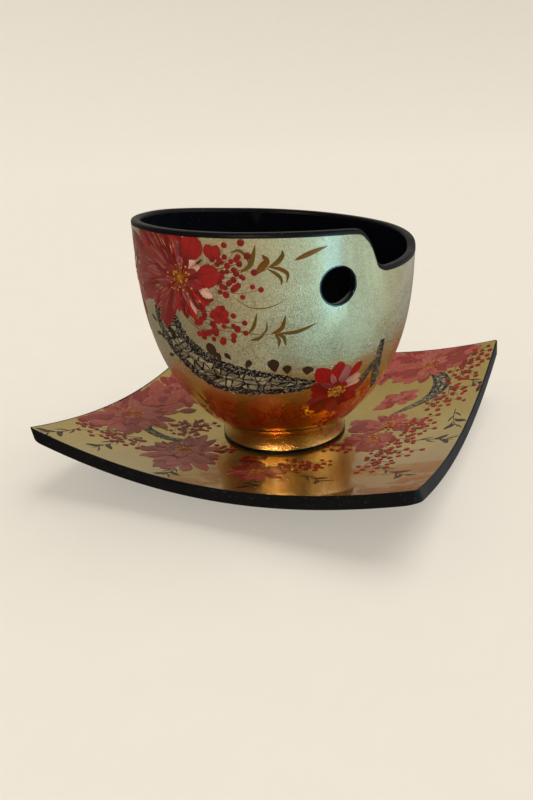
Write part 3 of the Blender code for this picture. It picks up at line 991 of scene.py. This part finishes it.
# Grasses: width and knots (azimuth, height).
OLIVE_BLADES = (
    (0.55, (9, 99), (14, 94.5), (19, 93.5), (24, 95), (27.5, 97.5)),
    (2.4, (12, 110.5), (15.5, 113.5), (17, 118), (18, 123)),
    (1.5, (9, 119.5), (12, 120.5), (14.5, 118), (15.5, 114)),
    (2.3, (22, 112.5), (25, 114.5), (27, 117.5), (27, 120)),
    (1.7, (21.5, 112), (24.5, 109.5), (26.2, 107), (26.2, 104)), (1.8, (13, 81), (15.5, 85), (17, 91.5)),
    (1, (18, 80.5), (20, 83), (20.3, 87.5)), (1.8, (24, 81), (31, 81.2), (38.5, 84.5)),
    (1.6, (19, 80.6), (16.5, 78.6), (13.5, 77.8)), (1.6, (23, 80.5), (24.4, 77.5), (24, 73.8)),
    (1.8, (23, 80.8), (26, 79), (26.8, 74)),
)
RUSSET_BLADES = (
    (2.3, (31, 115), (36.5, 117.5), (43, 120)),
    (3.4, (17.5, 109.5), (19.5, 112.5), (21.5, 115.5), (20, 118.5)),
    (1.9, (22.5, 112.5), (26, 111.5), (28.5, 109), (28, 105)),
    (2.1, (21.5, 80.8), (25.5, 83.5), (27.3, 90)),
)
OLIVE_STEMS = (
    (0.6, (3, 110.5), (7, 110.5), (11, 111), (14.5, 113)), (0.6, (17, 110), (20, 111), (23, 113)),
    (0.55, (3, 84.5), (8, 83.5), (13, 81.5), (18, 80.6), (23.5, 81)),
)

BOWL_BERRIES = (
    # start, tip (azimuth, height), bend, number of berries
    ((1, 112), (13, 124), -2, 3), ((1, 112), (7, 123), -1, 3), ((3, 112), (15, 118), -1.5, 4),
    ((2, 111), (12, 114.5), 0.5, 4), ((3, 110), (17, 110.5), 1.5, 3), ((3, 109), (13, 108), -0.5, 4),
    ((3, 108.5), (11, 104.5), -1, 4), ((1, 107), (19, 102.5), -4, 6), ((1, 106.5), (9, 102.5), -0.5, 4),
    ((0, 106), (5, 104), 0, 2), ((-8, 91), (8, 90), 1, 4), ((-8, 91), (12, 86.5), -1, 5),
    ((-8, 90), (9, 83.5), -0.5, 4), ((-8, 89), (12, 81.5), -2.5, 5), ((-9, 88), (7, 77.5), -2.5, 5),
    ((-9, 87.5), (3, 77.5), -2.5, 4), ((-10, 87), (-1, 77.5), -1.5, 4), ((-11, 86), (-5, 80.5), -0.5, 2),
)

BOWL_BUDS = (
    # azimuth, height, width, length, angle
    (-1.5, 66.5, 5.4, 9.5, 108), (0.5, 65.5, 3.2, 5.5, 110), (5, 67, 2.6, 4.6, 130),
    (10.5, 62.5, 3.2, 5.6, 60), (22, 60, 5.6, 8, 95), (27, 58.8, 4.4, 5.4, 92),
    (34.8, 57.4, 5.6, 5.2, 80), (-33, 80, 1.9, 6.5, 150), (-31, 74, 2.2, 7, 185),
    (-29.5, 71, 1.8, 6.5, 140), (-25.5, 64, 2.2, 6.5, 195), (-25, 88, 10, 10, 100),
)

def branch(ground, shells, place, knots, scale, seed, chips=True):
    """Eggshell branch: a ragged dark ribbon, large shards along its middle, grit at its edges.

    Each knot is two sheet coordinates and the ribbon's width there in mm.
    """
    chance = random.Random(seed)
    flat = [(first * scale[0], second * scale[1], width) for first, second, width in knots]
    length = sum(math.dist(a[:2], b[:2]) for a, b in zip(flat, flat[1:]))
    steps = max(int(length / BRANCH_STEP), 12)
    curve = curve_points(flat, steps)
    points = [point.to_2d() for point in curve]
    halves = [max(0.5 * point.z, 0.3) for point in curve]
    normals = []
    for i in range(steps + 1):
        along = (points[min(i + 1, steps)] - points[max(i - 1, 0)]).normalized()
        normals.append(Vector((-along.y, along.x)))

    def spot(along, across):
        """Sheet place from (step along, share across from -1 to 1)."""
        low = min(max(int(along), 0), steps - 1)
        t = min(max(along - low, 0.0), 1.0)
        base = points[low].lerp(points[low + 1], t)
        normal = normals[low].lerp(normals[low + 1], t)
        half = halves[low] + (halves[low + 1] - halves[low]) * t
        made = base + normal * half * across
        return (made.x / scale[0], made.y / scale[1])

    rows = []
    for i in range(steps + 1):
        left, right = [1.0 + 0.16 * (chance.random() - 0.5) for _ in range(2)]
        rows.append([(*spot(i, share), GROUND_LIFT, INK, (i, share, 0.0))
                     for share in (-left, -0.6, -0.2, 0.2, 0.6, right)])
    ground.strip(place, rows)
    if chips:
        lay_shards(shells, place, spot, steps, chance)
    lay_grit(shells, place, spot, steps, SHARD_BAND if chips else 0.0, halves, chance)


def lay_shards(shells, place, spot, steps, chance):
    """Broken plates with shared, jittered corners, split here and there by a diagonal."""
    columns = max(int(steps * BRANCH_STEP / SHARD_SIZE), 4)
    grid = {}
    for i in range(columns + 1):
        for j in range(SHARD_LANES + 1):
            along = steps * (i + 1.1 * (chance.random() - 0.5)) / columns
            across = SHARD_BAND * (2.0 * j / SHARD_LANES - 1.0) + 0.36 * (chance.random() - 0.5)
            grid[i, j] = spot(along, across)
    for i in range(columns):
        for j in range(SHARD_LANES):
            corners = [grid[i, j], grid[i + 1, j], grid[i + 1, j + 1], grid[i, j + 1]]
            pieces = [corners]
            if chance.random() < 0.55:
                pieces = [corners[:3], [corners[0], corners[2], corners[3]]]
            for shape in pieces:
                if chance.random() < 0.14:
                    continue
                tone = 0.18 + 0.82 * chance.random() ** 0.8
                tint = (0.53 * tone, 0.46 * tone, 0.29 * tone)
                shrunk = shrink(shape, 0.62 + 0.18 * chance.random())
                shells.shard(place, shrunk, 0.16 + 0.06 * chance.random(), tint)


def lay_grit(shells, place, spot, steps, band, halves, chance):
    """Fine angular grit from the shards out to the ragged edge."""
    inner = 0.6 * band
    for step in range(steps):
        for _ in range(int(1.5 + 1.1 * halves[step] * (1.0 - inner) + chance.random())):
            share = inner + (1.04 - inner) * chance.random()
            across = share if chance.random() < 0.5 else -share
            along = step + chance.random()
            tone = 0.05 if chance.random() < 0.4 else 0.35 + 0.65 * chance.random()
            tint = (0.66 * tone, 0.59 * tone, 0.55 * tone)
            turn = math.tau * chance.random()
            half = max(halves[step], 0.5)
            size = 0.20 + 0.32 * chance.random()
            corners = []
            for k in range(4):
                angle = turn + math.tau * k / 4 + 0.5 * chance.random()
                corners.append(spot(along + size * math.cos(angle) / BRANCH_STEP,
                                    across + size * math.sin(angle) / half))
            shells.shard(place, corners, 0.14, tint)


# Branches: two sheet coordinates and a width in mm for each knot.
BRANCH_MAIN = (
    (-25.5, 93, 12), (-25, 86, 17.5), (-23.8, 80.5, 19), (-21.3, 74.3, 19.5), (-17.5, 69, 20.5),
    (-10.5, 62.5, 22), (-4, 58.3, 22.5), (3, 55.8, 21.5), (10.5, 54.5, 19.5), (17, 53.8, 17),
    (25, 52.8, 13.5), (32, 51.8, 9.5), (39.5, 51.5, 4.5),
)
TWIG_LEFT = (
    (71, 67.5, 3.4), (71.2, 57, 5.4), (73.5, 46.5, 6.4), (78, 37.5, 5),
)
TWIG_RIGHT = (
    (70.5, 58.5, 2.4), (68, 54.5, 4.2), (65, 49, 5), (61, 42.5, 5.2), (57, 36.5, 4.4),
)
BACK_BRANCH = (
    (128, 92, 5), (140, 78, 8), (156, 68, 12), (176, 62, 13), (196, 61, 12), (214, 66, 8), (228, 76, 4),
)


def finish_decoration(reliefs, body, slot):
    kinds = (("blossoms", PETAL_PAINT), ("brush_lines", LINE_PAINT), ("branch_ground", BARK),
             ("eggshell", SHELL))
    for relief, (kind, surface) in zip(reliefs, kinds):
        relief.finish(body + "_" + kind, surface, body, slot)


def decorate_bowl():
    paints, lines, ground, shells = reliefs = [Relief() for _ in range(4)]
    degree = math.radians(1.0) * RIM_RADIUS
    scale = (degree, 1.0)
    low_scale = (math.radians(1.0) * wall_radius(50.0), 1.25)
    branch(ground, shells, on_bowl, BRANCH_MAIN, low_scale, 31)
    branch(ground, shells, on_bowl, TWIG_LEFT, low_scale, 32, False)
    branch(ground, shells, on_bowl, TWIG_RIGHT, low_scale, 33, False)
    branch(ground, shells, on_bowl, BACK_BRANCH, scale, 34)
    for azimuth, height, petals, heart, seed in BOWL_BLOSSOMS:
        sheet = bowl_sheet(azimuth, height)
        lay_petals(paints, sheet, HERE, petals)
        stamens(lines, sheet, HERE, heart, 22, seed)
    great = bowl_sheet(*BOWL_BLOSSOMS[0][:2])
    for strokes in GREAT_STREAKS:
        streaks(lines, great, HERE, *strokes)
    upper = bowl_sheet(2.4, 119.4)
    petal(paints, upper, (0.0, -3.5), 70.0, 0.0, 7.6, 5.2, RED, 30)
    petal(paints, upper, (0.0, -3.5), 112.0, 0.0, 8.0, 5.6, RED, 31)
    bud = bowl_sheet(3.0, 90.0)
    for k in range(5):
        petal(paints, bud, HERE, 20.0 + 72.0 * k, 0.0, 4.9, 4.2, RED, 20 + k)
    for i, (start, end, bend, count) in enumerate(BOWL_BERRIES):
        reach = ((end[0] - start[0]) * degree, end[1] - start[1])
        berries(paints, bowl_sheet(*start), reach, bend, count, 1.5, 60 + i)
    for azimuth, height, width, tall, angle in BOWL_BUDS:
        petal(paints, bowl_sheet(azimuth, height), HERE, angle, 0.0, tall, width, BUD, 2, 0.0, 1.6)
    for strokes, tint, taper in ((OLIVE_BLADES, OLIVE_GOLD, "blade"), (RUSSET_BLADES, RUSSET, "blade"),
                                 (OLIVE_STEMS, OLIVE_GOLD, "stem")):
        for width, *knots in strokes:
            ribbon(lines, on_bowl, knots, width, tint, taper, 16, GRASS_LIFT, scale)
    back_sprays(paints, lines)
    finish_decoration(reliefs, "bowl", "silver_leaf")


def back_sprays(paints, lines):
    """Berry and grass sprays on the far side, in the manner of the near ones."""
    for i, (azimuth, height, turn) in enumerate(((198, 96, 25), (150, 104, 160), (190, 78, -15),
                                                 (246, 92, 20), (140, 84, 200), (110, 84, 20))):
        sheet = bowl_sheet(azimuth, height)
        for k in range(4):
            end = offset_point(HERE, math.radians(turn + 16.0 * (k - 1.5)), 17.0)
            berries(paints, sheet, end, 1.5, 5, 1.4, 90 + 7 * i + k)
        for k in range(3):
            angle = math.radians(turn + 26.0 * (k - 1.0))
            knots = [offset_point(HERE, angle, 16.0), offset_point(HERE, angle + 0.15, 27.0)]
            ribbon(lines, sheet, knots, 1.8, OLIVE_GOLD)


SAUCER_BLOSSOMS = (
    # centre, petal width, stamen length, seed, tips of the outer petals
    ((-88, -33), 10, 9, 71,
     ((-103, -58), (-103, -42), (-103, -27), (-101, -12), (-100, 4), (-96, 16), (-88, 20), (-78, 14),
      (-72, 4), (-70, -8), (-66, -20), (-64, -32), (-72, -45), (-73, -60), (-84, -62), (-92, -66),
      (-100, -68))),
    ((-84, 16), 10, 0, 73,
     ((-101, 2), (-101, 20), (-97, 34), (-88, 42), (-76, 40), (-66, 26), (-62, 12), (-68, 0), (-78, -8))),
    ((-40, -54), 8, 7, 75,
     ((-60, -70), (-57, -63), (-52, -80), (-42, -83), (-37, -90), (-30, -88), (-58, -57), (-52, -46),
      (-47, -34), (-42, -26), (-33, -29), (-26, -38), (-20, -50), (-16, -62), (-14, -74), (-22, -84))),
    ((64, 85), 10, 9, 79,
     ((32, 102), (42, 104), (52, 105), (62, 105), (74, 105), (86, 104), (94, 100), (88, 90), (84, 82),
      (76, 76), (62, 66), (52, 66), (44, 68), (36, 74), (30, 82), (28, 92))),
    ((36, 84), 9, 0, 81,
     ((22, 100), (34, 104), (46, 100), (52, 88), (46, 74), (36, 66), (26, 70), (20, 84))),
    ((57, 17), 7, 6, 83,
     ((47, 29), (56, 32), (64, 29), (71, 20), (66, 9), (38, 22), (33, 14), (34, 7), (44, 0))),
    ((53, -3), 6.5, 5, 87,
     ((38, 2), (36, -7), (42, -14), (49, -22), (58, -21), (64, -14), (66, -4), (62, 6))),
    ((55, 52), 7, 0, 91,
     ((63, 59), (55, 58), (64, 48), (57, 42), (44, 50), (46, 38), (40, 36))),
    ((8, -62), 7, 6, 95,
     ((-8, -62), (-4, -52), (4, -48), (16, -50), (24, -58), (26, -68), (18, -76), (6, -80), (-4, -74))),
    ((-60, 64), 9, 8, 99,
     ((-88, 70), (-82, 84), (-70, 92), (-56, 94), (-42, 88), (-36, 74), (-38, 58), (-48, 46), (-62, 40),
      (-76, 46), (-86, 56))),
    ((6, 88), 8, 7, 103,
     ((-16, 88), (-12, 98), (2, 101), (16, 100), (26, 90), (20, 78), (6, 70), (-8, 76))),
)

SAUCER_BERRIES = (
    # start, turn of the fan in degrees, reach, stems, berries to a stem
    ((-80, -60), 262, 21, 5, 4), ((-92, -62), 245, 12, 3, 3), ((-66, -56), 262, 19, 4, 4),
    ((-64, -20), 335, 20, 5, 5), ((-60, -28), 352, 17, 4, 4), ((-58, -12), 340, 18, 3, 4),
    ((66, 20), -20, 17, 4, 4), ((64, 10), -22, 26, 4, 5), ((60, -4), -35, 19, 4, 4),
    ((62, -18), -58, 24, 5, 5), ((62, -34), -62, 22, 4, 4), ((82, 58), -50, 20, 4, 4),
    ((76, 48), -62, 21, 4, 4), ((82, 84), -48, 22, 5, 5), ((86, 92), -10, 14, 4, 3),
    ((86, 74), -62, 14, 3, 3), ((40, -8), 250, 18, 4, 4), ((-38, 60), -10, 20, 5, 4),
    ((-66, 36), 262, 18, 4, 4), ((24, 84), -20, 16, 4, 4), ((-6, -52), 60, 14, 4, 4),
    ((14, -50), 20, 18, 5, 4), ((-22, -46), 95, 12, 4, 3), ((26, -44), 0, 16, 4, 4),
)

SAUCER_SPRAYS = (
    # start, turn in degrees, reach, side of the first leaf
    (-92, -76, 262, 26, 1), (-73, -66, 275, 27, 1), (91, 64, -48, 20, 1), (92, 28, -78, 26, -1),
    (76, -8, -14, 24, 1), (68, -44, -48, 34, -1), (-30, -80, 285, 18, 1), (12, -74, 292, 20, -1),
    (-90, 26, 95, 26, 1), (-30, 90, 10, 20, -1), (30, -60, -30, 22, 1),
)

SAUCER_TWIGS = (
    ((-78, -40, 4.5), (-71, -43, 6), (-63, -45, 6), (-55, -44.5, 5), (-48, -41, 4), (-43, -34, 2)),
    ((65, 81, 2), (71, 74, 7), (76, 65, 10), (75.5, 55, 9), (71, 46, 6), (63, 38, 4), (55, 30.5, 2)),
    ((-74, 46, 3), (-60, 38, 6), (-50, 30, 3)), ((14, 74, 3), (26, 70, 6), (38, 74, 2.5)),
)


def leaf_spray(lines, sheet, reach, hand, tint):
    """A fine curved stem with needle leaves, and two fat drop-shaped ones near its end."""
    ribbon(lines, sheet, [HERE, (0.5 * reach, 1.2 * hand), (reach, -0.6 * hand)], 0.5, tint, "stem")
    for along, side in ((0.18, 1), (0.34, -1), (0.50, 1), (0.66, -1), (0.84, 1)):
        u, w = reach * along, 0.9 * hand * math.sin(math.pi * along)
        ribbon(lines, sheet, [(u, w), (u + 2.4, w + side * 1.8), (u + 6.5, w + side * 3.4)], 1.0, tint)
    for along, side in ((0.58, 1), (0.78, -1)):
        u, w = reach * along, 0.5 * hand
        ribbon(lines, sheet, [(u, w), (u + 4.5, w + side * 6.0)], 3.0, tint)


def berry_fan(paints, sheet, reach, stems, count, seed):
    """Berry stems spread like a hand from one point."""
    chance = random.Random(seed)
    for k in range(stems):
        angle = math.radians(22.0 * (k - 0.5 * (stems - 1)))
        end = offset_point(HERE, angle, reach * (0.65 + 0.4 * chance.random()))
        berries(paints, sheet, end, 1.5 * chance.random() - 0.8, count, 1.45, seed + 11 * k, INK)


def decorate_saucer():
    paints, lines, ground, shells = reliefs = [Relief() for _ in range(4)]
    for i, knots in enumerate(SAUCER_TWIGS):
        branch(ground, shells, on_saucer, knots, (1.0, 1.0), 101 + i)
    for centre, width, heart, seed, tips in SAUCER_BLOSSOMS:
        reach = max(math.dist(centre, tip) for tip in tips)
        fingers = towards(centre, tips, 0.8 * width, (MASS, MASS_DEEP, MASS), seed)
        lay_petals(paints, on_saucer, centre, fingers)
        dabs(paints, on_saucer, centre, tips, 52, 0.64 * width, len(fingers), seed + 1)
        if heart:
            stamens(lines, on_saucer, centre, 0.8 * heart, 11, seed)
            streaks(lines, on_saucer, centre, 9, 0.0, 360.0, 0.15 * reach, 0.55 * reach, PEACH, 1.2,
                    seed + 4)
            streaks(lines, on_saucer, centre, 8, 0.0, 360.0, 0.2 * reach, 0.6 * reach, STRAW, 0.5,
                    seed + 5)
    for i, (start, turn, reach, stems, count) in enumerate(SAUCER_BERRIES):
        berry_fan(paints, saucer_sheet(*start, turn), reach, stems, count, 120 + 60 * i)
    for x, y, turn, reach, hand in SAUCER_SPRAYS:
        leaf_spray(lines, saucer_sheet(x, y, turn), reach, hand, DUSK_OLIVE)
    finish_decoration(reliefs, "saucer", "gold_leaf")


# --- the studio ---

CAMERA_PLACE = (0.1664, -0.3697, 0.1927)
CAMERA_HEADING = 26.0
CAMERA_PITCH = 22.43
CAMERA_ROLL = -3.55
CAMERA_LENS = 33.6

# Sizes of the cove in metres.
COVE_FLAT = 1.8
COVE_BEND = 1.4
COVE_TOP = 4.5
COVE_SIDES = 96

ROOM_GLOW = (0.075, 0.070, 0.065)
TABLE_GLOW = (0.20, 0.16, 0.11)
ROOM_LIGHTS = (
    # azimuth, height angle, half width (all in degrees), radiance
    (204.0, 30.0, 62.0, (0.42, 0.39, 0.31)),
    (155.0, -5.0, 30.0, (0.34, 0.36, 0.38)),
    (104.0, 16.0, 40.0, (1.15, 1.06, 0.82)),
)
LOBE_CORE = 0.98
HIGHLIGHTS = (
    # name, place and target in metres, size, watts, tint
    ("window", (0.86, -0.36, -0.12), (0.0, 0.0, 0.10), (0.22, 0.34), 4.2, (0.28, 0.78, 1.0)),
    ("lamp", (0.09, -0.80, 0.36), (0.0, 0.0, 0.0), (0.10, 0.10), 2.0, (1.0, 0.74, 0.42)),
)


def area_light(name, place, target, size, power, tint):
    """A light that shows only as a highlight in glossy surfaces."""
    data = bpy.data.lights.new(name, "AREA")
    data.shape = "RECTANGLE"
    data.size, data.size_y = size
    data.energy = power
    data.color = tint
    light = add_object(name, data)
    light.location = place
    light.rotation_euler = (Vector(target) - Vector(place)).to_track_quat("-Z", "Y").to_euler()
    light.visible_diffuse = False


def make_cove():
    """A round sheet of pale paper that curves up all round, so that no horizon shows."""
    profile = [(0.4, 0.0), (0.9, 0.0)]
    profile += arc((COVE_FLAT, COVE_BEND), COVE_BEND, 270.0, 360.0, 16)
    profile.append((COVE_FLAT + COVE_BEND, COVE_TOP))
    mesh = bmesh.new()
    middle = mesh.verts.new((0.0, 0.0, 0.0))
    rings = [[mesh.verts.new(polar(360.0 * side / COVE_SIDES, radius, height))
              for side in range(COVE_SIDES)] for radius, height in profile]
    for corners in zip(rings[0], rings[0][1:] + rings[0][:1]):
        mesh.faces.new((middle, *corners))
    for first, second in zip(rings, rings[1:]):
        for corners in bridge(second, first):
            mesh.faces.new(corners)
    cove = add_mesh("paper_cove", mesh)
    cove.data.materials.append(floor_paper("floor_paper"))
    cove.data.shade_smooth()
    cove.visible_glossy = False
    cove.visible_shadow = False


def make_room():
    """What the gloss reflects: a dim room over a table top, with three paler sides."""
    world = bpy.data.worlds.new("room")
    bpy.context.scene.world = world
    world.use_nodes = True
    room = Nodes(world.node_tree)
    direction = room.node("ShaderNodeTexCoord").outputs["Generated"]
    rise = room.node("ShaderNodeSeparateXYZ", {0: direction}).outputs["Z"]
    above = room.ramp(rise, -0.20, 0.05, interpolation_type="SMOOTHSTEP")
    glow = room.blend(above, TABLE_GLOW, ROOM_GLOW)
    for azimuth, slope, half_width, radiance in ROOM_LIGHTS:
        middle = polar(azimuth, math.cos(math.radians(slope)), math.sin(math.radians(slope)))
        facing = room.node("ShaderNodeVectorMath", {0: direction, 1: middle}, operation="DOT_PRODUCT")
        share = room.ramp(facing.outputs["Value"], math.cos(math.radians(half_width)), LOBE_CORE,
                          interpolation_type="SMOOTHSTEP")
        glow = room.blend(share, glow, radiance)
    room.feed(room.tree.nodes["Background"].inputs["Color"], glow)


def make_studio():
    make_cove()
    make_room()
    data = bpy.data.lights.new("soft_top_light", "SUN")
    data.energy = 2.1
    data.angle = math.radians(50.0)
    data.color = (1.0, 0.97, 0.93)
    sun = add_object("soft_top_light", data)
    sun.rotation_euler = (math.radians(-18.0), math.radians(16.0), 0.0)
    sun.visible_glossy = False
    for highlight in HIGHLIGHTS:
        area_light(*highlight)
    bpy.context.scene.view_settings.view_transform = "Standard"


def make_camera():
    data = bpy.data.cameras.new("camera")
    data.lens = CAMERA_LENS
    data.sensor_width = 36.0
    data.clip_start = 0.01
    camera = add_object("camera", data)
    heading_turn = Matrix.Rotation(math.radians(CAMERA_HEADING), 4, "Z")
    pitch = Matrix.Rotation(math.radians(90.0 - CAMERA_PITCH), 4, "X")
    roll = Matrix.Rotation(math.radians(CAMERA_ROLL), 4, "Z")
    camera.matrix_world = Matrix.Translation(CAMERA_PLACE) @ heading_turn @ pitch @ roll
    bpy.context.scene.camera = camera


make_saucer()
make_bowl()
decorate_bowl()
decorate_saucer()
make_studio()
make_camera()
